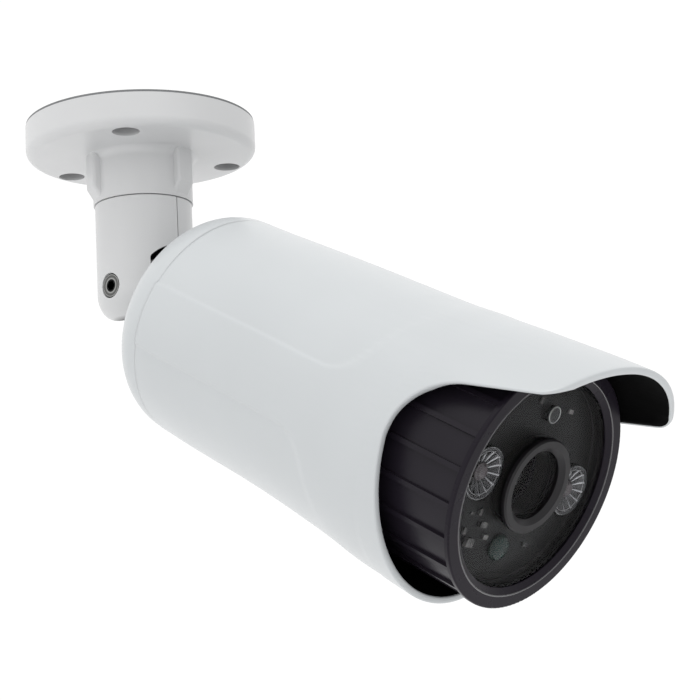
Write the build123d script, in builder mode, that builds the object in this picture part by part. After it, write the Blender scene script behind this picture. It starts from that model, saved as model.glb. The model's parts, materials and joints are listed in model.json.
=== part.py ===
from build123d import *

import os
from math import cos, radians, sin

# A bullet security camera on a ceiling bracket. Sizes are in millimetres.
#
# The origin is the middle of the bracket's ceiling face, Z points up to the ceiling, and the
# camera looks towards -Y and down. The bracket turns about Z (pan), the neck turns about X
# (tilt), and the camera turns about its own long axis (roll).
#
# Parts of the camera itself are drawn in the barrel's frame and then set in place: X is the
# camera's right, Y its top, and Z runs forward along its long axis from the tilt axis. In that
# frame a position along Z is called "s" in the comments.

os.makedirs("parts", exist_ok=True)

# ---------------------------------------------------------------------------------------------
# Driving dimensions
# ---------------------------------------------------------------------------------------------
base_r = 40.0                 # bracket disc
base_height = 12.0            # disc with its gasket
gasket_thick = 0.8
gasket_inset = 0.2
screw_circle_r = 32.5         # the three mounting screws
screw_count = 3
first_screw_angle = 98.5
arm_r = 16.8
seam_z = -29.0                # where the arm meets the fixed boss
tilt_axis_z = -59.4
tilt_at_rest = 28.1           # below the horizontal
roll_at_rest = -4.8

rear_s = 27.4                 # rear face of the camera
shell_start_s = 43.0
rim_s = 151.4                 # front rim of the shell at its sides
visor_tip_s = 202.3
face_s = 176.7                # front face of the bezel
rear_r = 37.9                 # rear cap
barrel_r = 35.4               # black front barrel, without its ribs
wall = 2.1                    # shell
seam_gap = 0.1                # between shell and rear cap

running_fit = 0.05            # radial play of a shaft in its hole
clearance = 0.3               # between pieces that move past each other
thread_fit = 0.02
hole_fit = 0.2                # radial play of a screw in a plain hole
m3_r = 1.5
m3_head_r = 2.75
m3_head_height = 2.0
hex_key_m3_flats = 2.5
m2_5_r = 1.25
m2_5_head_r = 2.3
m2_5_head_height = 1.8
far = 60.0                    # reaches past every outer surface of the camera


# ---------------------------------------------------------------------------------------------
# Frames
# ---------------------------------------------------------------------------------------------
forward = (0, -cos(radians(tilt_at_rest)), -sin(radians(tilt_at_rest)))
neck_plane = Plane(origin=(0, 0, tilt_axis_z), x_dir=(1, 0, 0), z_dir=forward)
in_world = Location()
on_neck = neck_plane.location
on_camera = neck_plane.location * Location((0, 0, 0), (0, 0, roll_at_rest))


def save(builder, name, place=in_world):
    """Set a finished sub-part in its place and write its STEP file."""
    piece = builder.part.moved(place)
    piece.label = name
    export_step(piece, f"parts/{name}.step")


def ring_body(outer_r, inner_r, start, end):
    """A plain ring or disc around Z, from start to end."""
    with BuildPart() as body:
        with BuildSketch(Plane.XY.offset(start)):
            Circle(outer_r)
            if inner_r > 0:
                Circle(inner_r, mode=Mode.SUBTRACT)
        extrude(amount=end - start)
    return body.part


def box_body(x_range, y_range, z_range):
    """A plain block between three pairs of limits."""
    width = x_range[1] - x_range[0]
    depth = y_range[1] - y_range[0]
    with BuildPart() as body:
        with BuildSketch(Plane.XY.offset(z_range[0])):
            with Locations(((x_range[0] + x_range[1]) / 2, (y_range[0] + y_range[1]) / 2)):
                Rectangle(width, depth)
        extrude(amount=z_range[1] - z_range[0])
    return body.part


def post_body(radius, x, z, y_range):
    """A round post that stands along Y in the camera, at x and at z along its length."""
    with BuildPart() as body:
        with BuildSketch(Plane.XZ.offset(-y_range[0])):
            with Locations((x, z)):
                Circle(radius)
        extrude(amount=-(y_range[1] - y_range[0]))
    return body.part


def turned_body(points):
    """A body of revolution about Z from an outline of (radius, z) points."""
    with BuildPart() as body:
        with BuildSketch(Plane.XZ):
            with BuildLine():
                Polyline(*points, close=True)
            make_face()
        revolve(axis=Axis.Z)
    return body.part


def lens_glass(radius, back, front, back_bulge, front_bulge):
    """A round glass lens, domed by the given heights at its back and its front."""
    with BuildPart() as body:
        add(ring_body(radius, 0, back, front))
        for apex, bulge, side in ((back, back_bulge, 1), (front, front_bulge, -1)):
            if bulge > 0:
                ball_r = (radius ** 2 + bulge ** 2) / (2 * bulge)
                with Locations((0, 0, apex + side * ball_r)):
                    Sphere(ball_r, mode=Mode.INTERSECT)
    return body.part


# ---------------------------------------------------------------------------------------------
# Ceiling bracket: gasket and base plate
# ---------------------------------------------------------------------------------------------
screw_hole_r = 2.6
screw_head_r = 4.6
screw_head_depth = 6.0
rim_fillet = 3.0
boss_r = 17.3
rib_r = 19.5
rib_width = 7.8
rib_slope_z = -24.0           # where a rib's outer face starts to slope in
rib_end_z = -27.8             # where the slope meets the boss
rib_side_r = 1.2
boss_fillet = 3.0
cable_r = 7.5
wire_pocket_r = 25.0
wire_pocket_depth = 5.0
stub_r = 11.0
stub_flange_r = 13.4
stub_flange_top_z = -35.3
stub_end_z = -38.7

with BuildPart() as base_gasket:
    with BuildSketch(Plane.XY.offset(-gasket_thick)):
        Circle(base_r - gasket_inset)
        Circle(wire_pocket_r, mode=Mode.SUBTRACT)
        with PolarLocations(screw_circle_r, screw_count, start_angle=first_screw_angle):
            Circle(screw_hole_r, mode=Mode.SUBTRACT)
    extrude(amount=gasket_thick)
save(base_gasket, "base_gasket")



def boss_rib():
    """One rib of the boss, standing out along X, with rounded long edges."""
    with BuildPart() as body:
        with BuildSketch(Plane.XZ):
            with BuildLine():
                Polyline((stub_r, -base_height), (rib_r, -base_height), (rib_r, rib_slope_z),
                         (boss_r - 0.2, rib_end_z), (stub_r, rib_end_z), close=True)
            make_face()
        extrude(amount=rib_width / 2, both=True)
        outer = body.edges().filter_by(lambda edge: edge.center().X > boss_r)
        fillet(outer.filter_by(lambda edge: abs(edge.center().Y) > rib_width / 2 - 0.01),
               rib_side_r)
    return body.part


with BuildPart() as base_plate:
    # Disc with a rounded lower rim
    with BuildSketch(Plane.XY.offset(-gasket_thick)):
        Circle(base_r)
    extrude(amount=-(base_height - gasket_thick))
    fillet(base_plate.edges().group_by(Axis.Z)[0], rim_fillet)
    # Boss, blended into the disc
    with BuildSketch(Plane.XY.offset(-base_height)):
        Circle(boss_r)
    extrude(amount=seam_z + base_height)
    boss_root = base_plate.edges().filter_by(GeomType.CIRCLE).filter_by(
        lambda edge: abs(edge.radius - boss_r) < 0.01 and abs(edge.center().Z + base_height) < 0.01)
    fillet(boss_root, boss_fillet)
    # Three ribs that stand between the screws, each sloped at its lower end
    with PolarLocations(0, screw_count, start_angle=first_screw_angle + 180 / screw_count):
        add(boss_rib())
    # Mounting screw holes with deep head recesses
    with Locations((0, 0, -base_height)):
        with PolarLocations(screw_circle_r, screw_count, start_angle=first_screw_angle):
            with Locations(Rotation(180, 0, 0)):
                CounterBoreHole(screw_hole_r, screw_head_r, screw_head_depth, base_height)
    # Hollow stub with the flange that the arm turns on
    with BuildSketch(Plane.XY.offset(seam_z)):
        Circle(stub_r)
    extrude(amount=stub_end_z - seam_z)
    with BuildSketch(Plane.XY.offset(stub_flange_top_z)):
        Circle(stub_flange_r)
    extrude(amount=stub_end_z - stub_flange_top_z)
    # Cable way and the pocket for the wire joints
    with BuildSketch(Plane.XY):
        Circle(cable_r)
    extrude(amount=stub_end_z - 1, mode=Mode.SUBTRACT)
    with BuildSketch(Plane.XY):
        Circle(wire_pocket_r)
    extrude(amount=-(gasket_thick + wire_pocket_depth), mode=Mode.SUBTRACT)
save(base_plate, "base_plate")

# ---------------------------------------------------------------------------------------------
# Arm: two half shells clamped round the stub, with a fork for the neck
# ---------------------------------------------------------------------------------------------
arm_top_z = seam_z - clearance
arm_end_z = -71.4
arm_end_fillet = 10.5
fork_half_width = 10.1
fork_top_z = -46.1            # crown of the fork's arched top
fork_shoulder_z = -50.6       # where the arch meets the fork's sides
fork_corner_r = 1.5
split_gap = 0.4
arm_passage_r = 8.0
groove_top_z = stub_flange_top_z + clearance
groove_end_z = stub_end_z - clearance
bolt_r = 2.5
bolt_head_r = 4.25
bolt_head_start_x = -16.2
bolt_seat_x = -13.0
nut_seat_x = 12.2
nut_end_x = 16.2
nut_flats = 8.0
clamp_y = 12.4
clamp_z = -42.2
clamp_seat_x = 7.5            # under the head of the M3 clamping screw
clamp_end_x = -8.0
clamp_head_height = 3.0

with BuildPart() as arm:
    # Round bar with a full round lower end
    with BuildSketch(Plane.XY.offset(arm_top_z)):
        Circle(arm_r)
    extrude(amount=arm_end_z - arm_top_z)
    fillet(arm.edges().group_by(Axis.Z)[0], arm_end_fillet)
    # Fork for the neck, open in front, behind and below
    with BuildSketch(Plane.XZ) as fork_outline:
        with BuildLine():
            left_shoulder = (-fork_half_width, fork_shoulder_z)
            right_shoulder = (fork_half_width, fork_shoulder_z)
            ThreePointArc(left_shoulder, (0, fork_top_z), right_shoulder)
            Polyline(right_shoulder, (fork_half_width, arm_end_z - 1),
                     (-fork_half_width, arm_end_z - 1), left_shoulder)
        make_face()
        shoulders = fork_outline.vertices().filter_by(
            lambda corner: abs(corner.Y - fork_shoulder_z) < 0.01)
        fillet(shoulders, fork_corner_r)
    extrude(amount=arm_r + 1, both=True, mode=Mode.SUBTRACT)
    # Bearing bore, flange groove and cable way
    add(ring_body(stub_r + running_fit, 0, groove_top_z - 1, arm_top_z), mode=Mode.SUBTRACT)
    add(ring_body(stub_flange_r + clearance, 0, groove_end_z, groove_top_z), mode=Mode.SUBTRACT)
    add(ring_body(arm_passage_r, 0, fork_top_z - 1, groove_end_z), mode=Mode.SUBTRACT)
    # Tilt bolt hole, with a round recess for its head and a hexagonal one for its nut
    with BuildSketch(Plane.YZ.offset(-arm_r - 1)):
        with Locations((0, tilt_axis_z)):
            Circle(bolt_r + running_fit)
    extrude(amount=2 * arm_r + 2, mode=Mode.SUBTRACT)
    with BuildSketch(Plane.YZ.offset(-arm_r - 1)):
        with Locations((0, tilt_axis_z)):
            Circle(bolt_head_r + running_fit)
    extrude(amount=bolt_seat_x + arm_r + 1, mode=Mode.SUBTRACT)
    with BuildSketch(Plane.YZ.offset(nut_seat_x)):
        with Locations((0, tilt_axis_z)):
            RegularPolygon(nut_flats / 2 + running_fit, 6, major_radius=False)
    extrude(amount=arm_r, mode=Mode.SUBTRACT)
    # Upper clamping screw, put in from the right
    with BuildSketch(Plane.YZ.offset(clamp_end_x)):
        with Locations((clamp_y, clamp_z)):
            Circle(m3_r + thread_fit)
    extrude(amount=2 * arm_r, mode=Mode.SUBTRACT)
    with BuildSketch(Plane.YZ.offset(clamp_seat_x)):
        with Locations((clamp_y, clamp_z)):
            Circle(m3_head_r + running_fit)
    extrude(amount=arm_r, mode=Mode.SUBTRACT)

with BuildPart() as arm_half_left:
    add(arm.part)
    split(bisect_by=Plane.YZ.offset(-split_gap / 2), keep=Keep.BOTTOM)
save(arm_half_left, "arm_half_left")

with BuildPart() as arm_half_right:
    add(arm.part)
    split(bisect_by=Plane.YZ.offset(split_gap / 2), keep=Keep.TOP)
save(arm_half_right, "arm_half_right")

hex_key_flats = 3.0
hex_key_depth = 2.2
bolt_head_chamfer = 0.4

with BuildPart() as tilt_bolt:
    with BuildSketch(Plane.YZ.offset(bolt_head_start_x)):
        with Locations((0, tilt_axis_z)):
            Circle(bolt_head_r)
    extrude(amount=bolt_seat_x - bolt_head_start_x)
    chamfer(tilt_bolt.edges().group_by(Axis.X)[0], bolt_head_chamfer)
    with BuildSketch(Plane.YZ.offset(bolt_seat_x)):
        with Locations((0, tilt_axis_z)):
            Circle(bolt_r)
    extrude(amount=nut_end_x - bolt_seat_x)
    with BuildSketch(Plane.YZ.offset(bolt_head_start_x)):
        with Locations((0, tilt_axis_z)):
            RegularPolygon(hex_key_flats / 2, 6, major_radius=False)
    extrude(amount=hex_key_depth, mode=Mode.SUBTRACT)
save(tilt_bolt, "tilt_bolt")

with BuildPart() as tilt_nut:
    with BuildSketch(Plane.YZ.offset(nut_seat_x)):
        with Locations((0, tilt_axis_z)):
            RegularPolygon(nut_flats / 2, 6, major_radius=False)
            Circle(bolt_r + thread_fit, mode=Mode.SUBTRACT)
    extrude(amount=nut_end_x - nut_seat_x)
save(tilt_nut, "tilt_nut")

with BuildPart() as clamp_screw:
    with BuildSketch(Plane.YZ.offset(clamp_end_x)):
        with Locations((clamp_y, clamp_z)):
            Circle(m3_r)
    extrude(amount=clamp_seat_x - clamp_end_x)
    with BuildSketch(Plane.YZ.offset(clamp_seat_x)):
        with Locations((clamp_y, clamp_z)):
            Circle(m3_head_r)
    extrude(amount=clamp_head_height)
    with BuildSketch(Plane.YZ.offset(clamp_seat_x + clamp_head_height)):
        with Locations((clamp_y, clamp_z)):
            RegularPolygon(hex_key_m3_flats / 2, 6, major_radius=False)
    extrude(amount=-0.6 * clamp_head_height, mode=Mode.SUBTRACT)
save(clamp_screw, "clamp_screw")

# ---------------------------------------------------------------------------------------------
# Neck: tilt knuckle, stem and the hollow shaft that the camera rolls on
# ---------------------------------------------------------------------------------------------
knuckle_r = 9.8
knuckle_chamfer = 1.0
washer_thick = 0.5
washer_r = 8.0
knuckle_half_width = fork_half_width - clearance - washer_thick
stem_r = 9.2
collar_r = 13.5
collar_start_s = 24.0
collar_end_s = rear_s - clearance
shaft_r = 9.5
shaft_end_s = 38.6
hub_end_s = 32.4              # inner face of the rear cap
nut_start_s = hub_end_s + clearance
roll_nut_end_s = 37.0
roll_nut_r = 14.5
seal_start_s = 28.8
seal_width = 1.8
seal_groove_r = 8.1
neck_bore_r = 6.5
cable_window = (12.0, 15.0)   # through the knuckle, on both sides of the bolt
cable_window_corner_r = 4.0
nut_notch = 3.0               # the six notches for a pin spanner, as wide as they are deep

with BuildPart() as neck:
    # Knuckle, a drum that lies across the fork
    with BuildSketch(Plane.YZ.offset(-knuckle_half_width)):
        Circle(knuckle_r)
    extrude(amount=2 * knuckle_half_width)
    chamfer(neck.edges(), knuckle_chamfer)
    # Stem, collar and shaft
    add(ring_body(stem_r, 0, 0, collar_start_s))
    add(ring_body(collar_r, 0, collar_start_s, collar_end_s))
    add(ring_body(shaft_r, 0, collar_end_s, shaft_end_s))
    add(ring_body(shaft_r + 1, seal_groove_r, seal_start_s, seal_start_s + seal_width),
        mode=Mode.SUBTRACT)
    # Cable way: a wide window through the knuckle, then a bore
    with BuildSketch(Plane.XY.offset(-knuckle_r - 1)):
        RectangleRounded(*cable_window, cable_window_corner_r)
    extrude(amount=2 * knuckle_r + 1, mode=Mode.SUBTRACT)
    with BuildSketch(Plane.XY.offset(knuckle_r - 1)):
        Circle(neck_bore_r)
    extrude(amount=shaft_end_s, mode=Mode.SUBTRACT)
    # Hole for the tilt bolt
    with BuildSketch(Plane.YZ.offset(-knuckle_half_width - 1)):
        Circle(bolt_r + running_fit)
    extrude(amount=2 * knuckle_half_width + 2, mode=Mode.SUBTRACT)
save(neck, "neck", on_neck)

with BuildPart() as tilt_washers:
    for washer_start in (-knuckle_half_width - washer_thick, knuckle_half_width):
        with BuildSketch(Plane.YZ.offset(washer_start)):
            Circle(washer_r)
            Circle(bolt_r + running_fit, mode=Mode.SUBTRACT)
        extrude(amount=washer_thick)
save(tilt_washers, "tilt_washers", on_neck)

with BuildPart() as roll_seal:
    add(ring_body(shaft_r, seal_groove_r, seal_start_s, seal_start_s + seal_width))
save(roll_seal, "roll_seal", on_neck)

with BuildPart() as roll_nut:
    with BuildSketch(Plane.XY.offset(nut_start_s)):
        Circle(roll_nut_r)
        Circle(shaft_r + thread_fit, mode=Mode.SUBTRACT)
        with PolarLocations(roll_nut_r, 6):
            Rectangle(nut_notch, nut_notch, mode=Mode.SUBTRACT)
    extrude(amount=roll_nut_end_s - nut_start_s)
save(roll_nut, "roll_nut", on_neck)

# ---------------------------------------------------------------------------------------------
# Rear cap
# ---------------------------------------------------------------------------------------------
rear_edge_r = 13.5            # the big rounding of the rear edge
cap_lip_s = shell_start_s - seam_gap
cap_pocket_r = 30.5
spigot_r = 33.4
spigot_end_s = 49.5
housing_screw_count = 4
housing_screw_circle_r = 27.3
housing_screw_angle = 45.0
housing_screw_head = 3.0
housing_screw_depth = 8.0     # length of the screw in its boss
screw_boss_r = 3.6

with BuildPart() as rear_cap:
    with BuildSketch(Plane.XZ):
        with BuildLine():
            flat_r = rear_r - rear_edge_r
            Line((shaft_r + running_fit, rear_s), (flat_r, rear_s))
            RadiusArc((flat_r, rear_s), (rear_r, rear_s + rear_edge_r), -rear_edge_r)
            Polyline((rear_r, rear_s + rear_edge_r), (rear_r, cap_lip_s), (spigot_r, cap_lip_s),
                     (spigot_r, spigot_end_s), (cap_pocket_r, spigot_end_s),
                     (cap_pocket_r, hub_end_s), (shaft_r + running_fit, hub_end_s),
                     (shaft_r + running_fit, rear_s))
        make_face()
    revolve(axis=Axis.Z)
    # Bosses for the four screws that hold the housing together
    with BuildSketch(Plane.XY.offset(hub_end_s)):
        with PolarLocations(housing_screw_circle_r, housing_screw_count,
                            start_angle=housing_screw_angle):
            Circle(screw_boss_r)
    extrude(amount=spigot_end_s - hub_end_s)
    with BuildSketch(Plane.XY.offset(spigot_end_s)):
        with PolarLocations(housing_screw_circle_r, housing_screw_count,
                            start_angle=housing_screw_angle):
            Circle(m3_r + thread_fit)
    extrude(amount=-(housing_screw_depth + 1), mode=Mode.SUBTRACT)
save(rear_cap, "rear_cap", on_camera)

# ---------------------------------------------------------------------------------------------
# Shell: the white outer housing that runs out into the visor
# ---------------------------------------------------------------------------------------------
relief = 0.6                  # height of the side panels and the front over the long pads
# Place along the barrel, radius, and how far the section hangs below the long axis
shell_sections = (
    (shell_start_s, rear_r + relief, 0.0),
    (75.0, 39.3, 0.0),
    (105.0, 40.1, 0.2),
    (130.0, 41.1, 0.9),
    (155.0, 42.1, 1.3),
    (visor_tip_s, 44.4, 2.7),
)
panel_top = 9.6               # edges of the side panel, above and below the long axis
panel_bottom = -11.4
panel_corner_top_s = 129.0
panel_corner_bottom_s = 120.0
panel_flare = 0.36            # how fast the panel's edge still moves forward beyond the corner
panel_corner_r = 12.0
flange_start_s = 50.0
flange_end_s = 52.0
flange_r = 23.5
rim_slope = 0.18              # how fast the rim runs forward towards its bottom
visor_root = 17.4             # height where the visor's side edge leaves the rim
visor_root_r = 19.0
visor_corner = (27.6, 190.3)  # height and place of the visor's lower front corner
visor_corner_r = 9.0


def shell_form(inset):
    """The shell's outer form, lofted through circles, made smaller all round by inset."""
    with BuildPart() as body:
        for station, radius, drop in shell_sections:
            with BuildSketch(Plane(origin=(0, -drop, station))):
                Circle(radius - inset)
        loft()
    return body.part


with BuildPart() as raised_form:
    # Side panels and front, standing a little proud of the long pads above and below
    add(shell_form(0))
    with BuildSketch(Plane.YZ) as panel_outline:
        with BuildLine():
            Polyline((panel_bottom, 0),
                     (panel_top, 0),
                     (panel_top, panel_corner_top_s),
                     (far, panel_corner_top_s + panel_flare * (far - panel_top)),
                     (far, visor_tip_s),
                     (-far, visor_tip_s),
                     (-far, panel_corner_bottom_s + panel_flare * (far + panel_bottom)),
                     (panel_bottom, panel_corner_bottom_s),
                     close=True)
        make_face()
        corners = panel_outline.vertices().filter_by(
            lambda corner: 0 < corner.Y < visor_tip_s and abs(corner.X) < far - 1)
        fillet(corners, panel_corner_r)
    extrude(amount=far, both=True, mode=Mode.INTERSECT)

with BuildPart() as shell_hollow:
    # Space inside the shell, left solid where the mounting flange is
    add(shell_form(wall))
    with BuildSketch(Plane.XY.offset(flange_start_s)):
        Circle(far)
    extrude(amount=flange_end_s - flange_start_s, mode=Mode.SUBTRACT)

with BuildPart() as shell:
    add(shell_form(relief))
    add(raised_form.part)
    add(shell_hollow.part, mode=Mode.SUBTRACT)
    add(ring_body(flange_r, 0, shell_start_s, flange_end_s + 1), mode=Mode.SUBTRACT)
    with BuildSketch(Plane.XY.offset(flange_start_s)):
        with PolarLocations(housing_screw_circle_r, housing_screw_count,
                            start_angle=housing_screw_angle):
            Circle(m3_r + hole_fit)
    extrude(amount=flange_end_s - flange_start_s, mode=Mode.SUBTRACT)
    # Everything in front of the rim and below the visor is cut away
    with BuildSketch(Plane.YZ) as front_outline:
        with BuildLine():
            Polyline((-far, rim_s + rim_slope * far), (0, rim_s), (visor_root, rim_s),
                     visor_corner, (far, visor_tip_s),
                     (far, visor_tip_s + 10), (-far, visor_tip_s + 10), close=True)
        make_face()
        root = front_outline.vertices().sort_by_distance((visor_root, rim_s))[0]
        fillet(root, visor_root_r)
        tip = front_outline.vertices().sort_by_distance(visor_corner)[0]
        fillet(tip, visor_corner_r)
    extrude(amount=far, both=True, mode=Mode.SUBTRACT)
save(shell, "shell", on_camera)

# ---------------------------------------------------------------------------------------------
# Black front barrel, its seals and the screws that hold rear cap, shell and barrel together
# ---------------------------------------------------------------------------------------------
barrel_start_s = flange_end_s + 0.5
barrel_wall_end_s = barrel_start_s + 3.0
barrel_bore_r = 31.2
barrel_wall_hole_r = 22.0     # for the wires, through the barrel's rear wall
barrel_neck_r = 30.4          # narrower bore that the glass seal rests on
barrel_neck_start_s = 163.0
barrel_front_s = face_s - 1.5
seat_s = 171.0
spigot_bore_r = 32.65
rib_count = 22
rib_height = 0.9
rib_thick = 1.5
rib_root = 0.5                # how deep a rib reaches into the barrel
rib_start_s = 64.0
land_half_width = 6.0
land_top = -20.0
land_places = (69.0, 151.0)
land_half_length = 5.0
land_root = barrel_r - 1      # how far down a land reaches into the barrel's wall
land_screw_y = -27.0          # end of the screw in a land

with BuildPart() as front_barrel:
    add(turned_body(((barrel_wall_hole_r, barrel_start_s), (barrel_r, barrel_start_s),
                     (barrel_r, barrel_front_s), (spigot_bore_r, barrel_front_s),
                     (spigot_bore_r, seat_s), (barrel_neck_r, seat_s),
                     (barrel_neck_r, barrel_neck_start_s), (barrel_bore_r, barrel_neck_start_s),
                     (barrel_bore_r, barrel_wall_end_s), (barrel_wall_hole_r, barrel_wall_end_s))))
    # Cooling ribs along the outside
    with BuildSketch(Plane.XY.offset(rib_start_s)):
        with PolarLocations(barrel_r + (rib_height - rib_root) / 2, rib_count):
            Rectangle(rib_height + rib_root, rib_thick)
    extrude(amount=barrel_front_s - rib_start_s)
    # Lands inside, for the chassis
    for land_s in land_places:
        with BuildSketch(Plane.XY.offset(land_s - land_half_length)):
            with Locations((0, (land_top - land_root) / 2)):
                Rectangle(2 * land_half_width, land_top + land_root)
        extrude(amount=2 * land_half_length)
    for land_s in land_places:
        add(post_body(m3_r + thread_fit, 0, land_s, (land_screw_y - 0.5, land_top)),
            mode=Mode.SUBTRACT)
    with BuildSketch(Plane.XY.offset(barrel_start_s)):
        with PolarLocations(housing_screw_circle_r, housing_screw_count,
                            start_angle=housing_screw_angle):
            Circle(m3_r + hole_fit)
    extrude(amount=barrel_wall_end_s - barrel_start_s, mode=Mode.SUBTRACT)
save(front_barrel, "front_barrel", on_camera)

housing_seal_thick = 0.5

with BuildPart() as housing_seals:
    for seal_s in (spigot_end_s, flange_end_s):
        add(ring_body(spigot_r - 0.4, cap_pocket_r + 0.5, seal_s, seal_s + housing_seal_thick))
save(housing_seals, "housing_seals", on_camera)

with BuildPart() as housing_screws:
    with BuildSketch(Plane.XY.offset(spigot_end_s - housing_screw_depth)):
        with PolarLocations(housing_screw_circle_r, housing_screw_count,
                            start_angle=housing_screw_angle):
            Circle(m3_r)
    extrude(amount=barrel_wall_end_s - spigot_end_s + housing_screw_depth)
    with BuildSketch(Plane.XY.offset(barrel_wall_end_s)):
        with PolarLocations(housing_screw_circle_r, housing_screw_count,
                            start_angle=housing_screw_angle):
            Circle(m3_head_r)
            RegularPolygon(hex_key_m3_flats / 2, 6, major_radius=False, mode=Mode.SUBTRACT)
    extrude(amount=housing_screw_head)
save(housing_screws, "housing_screws", on_camera)

# ---------------------------------------------------------------------------------------------
# Front: bezel, glass, seals, trim ring and lens window
# ---------------------------------------------------------------------------------------------
glass_r = 31.5
glass_hole_r = 12.35
glass_back_s = 173.3
bezel_r = 36.8
bezel_lip_r = 30.9
bezel_cone_r = 32.9
bezel_spigot_bore_r = 31.9
bezel_round = 0.5
trim_r = 14.1
trim_tube_r = 12.25
trim_bore_r = 10.95
trim_lip_r = 10.2
trim_start_s = 169.5
trim_chamfer = 0.5
trim_cone = 1.4               # how far the sloped lip reaches inwards
window_thick = 1.8
window_front_s = face_s - 1.8
window_back_s = window_front_s - window_thick
window_seal_r = 9.9
window_seal_thick = 0.6

with BuildPart() as bezel:
    add(turned_body(((bezel_spigot_bore_r, seat_s + 0.1), (spigot_bore_r - running_fit, seat_s + 0.1),
                     (spigot_bore_r - running_fit, barrel_front_s), (bezel_r, barrel_front_s),
                     (bezel_r, face_s), (bezel_cone_r, face_s),
                     (bezel_lip_r, barrel_front_s + 0.3), (bezel_lip_r, barrel_front_s),
                     (bezel_spigot_bore_r, barrel_front_s))))
    fillet(bezel.edges().filter_by(GeomType.CIRCLE).sort_by(SortBy.RADIUS).filter_by(
        lambda edge: edge.radius > bezel_r - 0.1 and edge.center().Z > face_s - 0.1), bezel_round)
save(bezel, "bezel", on_camera)

with BuildPart() as front_glass:
    add(ring_body(glass_r, glass_hole_r, glass_back_s, barrel_front_s))
save(front_glass, "front_glass", on_camera)

with BuildPart() as glass_seal:
    add(ring_body(glass_r + 0.1, barrel_neck_r + 0.1, seat_s, glass_back_s))
save(glass_seal, "glass_seal", on_camera)

with BuildPart() as trim_ring:
    add(turned_body(((trim_bore_r, trim_start_s), (trim_tube_r, trim_start_s),
                     (trim_tube_r, barrel_front_s), (trim_r, barrel_front_s),
                     (trim_r, face_s - trim_chamfer), (trim_r - trim_chamfer, face_s),
                     (trim_lip_r + trim_cone, face_s), (trim_lip_r, face_s - trim_cone),
                     (trim_lip_r, window_front_s), (trim_bore_r, window_front_s))))
save(trim_ring, "trim_ring", on_camera)

with BuildPart() as lens_window:
    add(ring_body(trim_bore_r - running_fit, 0, window_back_s, window_front_s))
save(lens_window, "lens_window", on_camera)

with BuildPart() as window_seal:
    add(ring_body(trim_bore_r - running_fit, window_seal_r,
                  window_back_s - window_seal_thick, window_back_s))
save(window_seal, "window_seal", on_camera)

# ---------------------------------------------------------------------------------------------
# Light board behind the glass
# ---------------------------------------------------------------------------------------------
board_thick = 1.6
led_board_front_s = 170.8
led_board_back_s = led_board_front_s - board_thick
led_board_r = 30.1
led_board_hole_r = 13.2
led_x = 22.0
reflector_r = 7.9
reflector_height = 2.0
reflector_rim = 1.1
reflector_floor_r = 3.0
emitter_r = 2.6
emitter_height = 1.6
photocell_y = 20.1
photocell_r = 2.5
photocell_height = 1.6
sensor_y = -20.3
sensor_r = 4.0
standoff_circle_r = 25.0
standoff_angles = (50.0, 130.0, 270.0)
standoff_flats = 5.0
standoff_screw_length = 6.5
chassis_front_s = 161.5
sheet_thick = 1.5

with BuildPart() as led_board:
    with BuildSketch(Plane.XY.offset(led_board_back_s)):
        Circle(led_board_r)
        Circle(led_board_hole_r, mode=Mode.SUBTRACT)
    extrude(amount=board_thick)
save(led_board, "led_board", on_camera)

with BuildPart() as led_reflectors:
    # Shallow cones, open at the bottom for the emitter
    with Locations((-led_x, 0), (led_x, 0)):
        add(turned_body(((reflector_floor_r, led_board_front_s),
                         (reflector_r, led_board_front_s),
                         (reflector_r, led_board_front_s + reflector_height),
                         (reflector_r - reflector_rim, led_board_front_s + reflector_height),
                         (reflector_floor_r, led_board_front_s + 0.5))))
save(led_reflectors, "led_reflectors", on_camera)

with BuildPart() as led_emitters:
    with Locations((-led_x, 0), (led_x, 0)):
        add(turned_body(((0, led_board_front_s), (emitter_r, led_board_front_s),
                         (emitter_r, led_board_front_s + 0.6),
                         (emitter_r - 0.9, led_board_front_s + 1.4),
                         (0, led_board_front_s + emitter_height))))
save(led_emitters, "led_emitters", on_camera)

with BuildPart() as photocell:
    add(ring_body(photocell_r, 0, led_board_front_s, led_board_front_s + photocell_height).moved(
        Location((0, photocell_y, 0))))
    chamfer(photocell.edges().group_by(Axis.Z)[-1], 0.3)
save(photocell, "photocell", on_camera)

with BuildPart() as face_sensor:
    add(turned_body(((0, led_board_front_s), (sensor_r, led_board_front_s),
                     (sensor_r, led_board_front_s + 0.8), (sensor_r - 0.6, led_board_front_s + 1.6),
                     (sensor_r - 2.0, led_board_front_s + 2.1),
                     (0, led_board_front_s + 2.3))).moved(Location((0, sensor_y, 0))))
save(face_sensor, "face_sensor", on_camera)

# Small parts soldered to the front of the light board: middle and size of each
led_board_chips = (
    ((-11.5, -14.5), (3.0, 1.6, 0.9)),
    ((-8.0, -18.0), (2.0, 1.25, 0.6)),
    ((-14.5, -11.0), (1.25, 2.0, 0.6)),
    ((-18.0, -11.8), (1.6, 0.8, 0.5)),
    ((-15.0, -20.0), (3.2, 2.6, 1.2)),
    ((-18.5, -17.0), (1.25, 2.0, 0.6)),
    ((12.5, -18.5), (2.0, 1.25, 0.6)),
    ((9.0, 22.0), (2.0, 1.25, 0.6)),
    ((-7.0, 23.0), (1.25, 2.0, 0.6)),
)

with BuildPart() as led_board_parts:
    for (chip_x, chip_y), (chip_w, chip_h, chip_rise) in led_board_chips:
        with BuildSketch(Plane.XY.offset(led_board_front_s)):
            with Locations((chip_x, chip_y)):
                Rectangle(chip_w, chip_h)
        extrude(amount=chip_rise)
    # Plug socket on the back
    add(box_body((-5, 5), (15.5, 20.5), (led_board_back_s - 4, led_board_back_s)))
save(led_board_parts, "led_board_parts", on_camera)

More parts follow.
